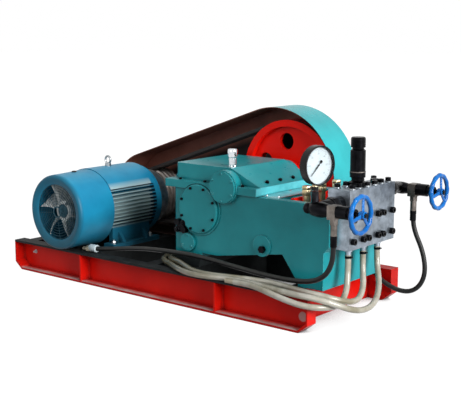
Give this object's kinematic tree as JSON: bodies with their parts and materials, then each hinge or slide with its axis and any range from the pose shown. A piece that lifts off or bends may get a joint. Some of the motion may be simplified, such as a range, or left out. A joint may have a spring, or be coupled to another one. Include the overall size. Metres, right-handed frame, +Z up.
{
  "type": "hydrostatic test pump",
  "caption": "Electric hydrostatic test pump on a channel skid, with belt drive in an open-fronted guard, steel fluid end, side valves, gauge and hoses.",
  "frame": {"origin": "underside of the skid, halfway along and across it, on the middle beam", "axes": "+X along the skid from the motor to the fluid end, +Y across it to the belt side, +Z up"},
  "size_m": [1.942, 0.7724, 0.8009],
  "materials": {
    "belt_rubber": "matt",
    "bright_cap": "polished",
    "casting_teal": "gloss enamel",
    "dark_steel": "blackened",
    "dial_white": "matt",
    "fan_grey": "cast",
    "gauge_black": "satin",
    "gauge_glass": "clear",
    "gland_brass": "machined",
    "ground_steel": "ground",
    "hose_amber": "clear amber",
    "hose_black": "satin",
    "motor_blue": "satin enamel",
    "pulley_red": "gloss enamel",
    "skid_red": "gloss enamel",
    "wheel_blue": "gloss enamel"
  },
  "bodies": {
    "skid": {"near_rail": "skid_red", "far_rail": "skid_red", "left_end_beam": "skid_red", "motor_beam_left": "skid_red", "motor_beam_right": "skid_red", "middle_beam": "skid_red", "pump_beam_left": "skid_red", "pump_beam_right": "skid_red", "motor_frame": "motor_blue", "motor_end_shield": "motor_blue", "motor_fan_cover": "motor_blue", "lifting_eye": "dark_steel", "terminal_box": "motor_blue", "drive_belts": "belt_rubber", "guard_rim": "casting_teal", "guard_back": "casting_teal", "guard_bracket": "skid_red", "pump_frame": "casting_teal", "crankcase_cover": "casting_teal", "side_covers": "casting_teal", "oil_plugs": "dark_steel", "breather": "bright_cap", "splash_plate": "ground_steel", "plungers": "bright_cap", "gland_nuts": "gland_brass", "grease_cups": "gland_brass", "gland_yokes": "skid_red", "fluid_block": "ground_steel", "valve_head": "ground_steel", "suction_stubs": "ground_steel", "relief_valve": "dark_steel", "relief_cap": "dark_steel", "left_adaptor": "dark_steel", "left_outlet": "ground_steel", "left_valve": "dark_steel", "right_adaptor": "dark_steel", "right_outlet": "ground_steel", "right_valve": "dark_steel", "gauge_case": "gauge_black", "gauge_dial": "dial_white", "gauge_glass": "gauge_glass", "suction_hose_left": "hose_amber", "suction_hose_middle": "hose_amber", "suction_hose_right": "hose_amber", "left_pressure_hose": "hose_black", "right_pressure_hose": "hose_black", "suction_hose_ends": "dark_steel", "left_hose_end": "ground_steel", "right_hose_end": "ground_steel"},
    "pump_drive": {"pinion_shaft": "ground_steel", "drive_pulley": "pulley_red"},
    "motor_rotor": {"motor_shaft": "ground_steel", "motor_fan": "fan_grey", "motor_pulley": "dark_steel"},
    "left_wheel": {"left_handwheel": "wheel_blue"},
    "right_wheel": {"right_handwheel": "wheel_blue"},
    "gauge_pointer": {"gauge_needle": "gauge_black"}
  },
  "joints": [
    {"name": "drive_spin", "type": "hinge", "parent": "skid", "child": "pump_drive", "pos_m": [0.352, 0.28, 0.501], "axis": [0, 1, 0], "continuous": true},
    {"name": "motor_spin", "type": "hinge", "parent": "skid", "child": "motor_rotor", "pos_m": [-0.505, 0, 0.32], "axis": [0, 1, 0], "continuous": true},
    {"name": "left_wheel_turn", "type": "hinge", "parent": "skid", "child": "left_wheel", "pos_m": [1.058, -0.29, 0.478], "axis": [1, 0, 0], "range_deg": [0, 720]},
    {"name": "right_wheel_turn", "type": "hinge", "parent": "skid", "child": "right_wheel", "pos_m": [1.058, 0.3, 0.49], "axis": [1, 0, 0], "range_deg": [0, 720]},
    {"name": "needle_turn", "type": "hinge", "parent": "skid", "child": "gauge_pointer", "pos_m": [0.863, -0.29, 0.643], "axis": [0.9816, -0.1908, 0], "range_deg": [-270, 0]}
  ],
  "couplings": [
    {"joint": "motor_spin", "follows": "drive_spin", "ratio": 1.912}
  ]
}
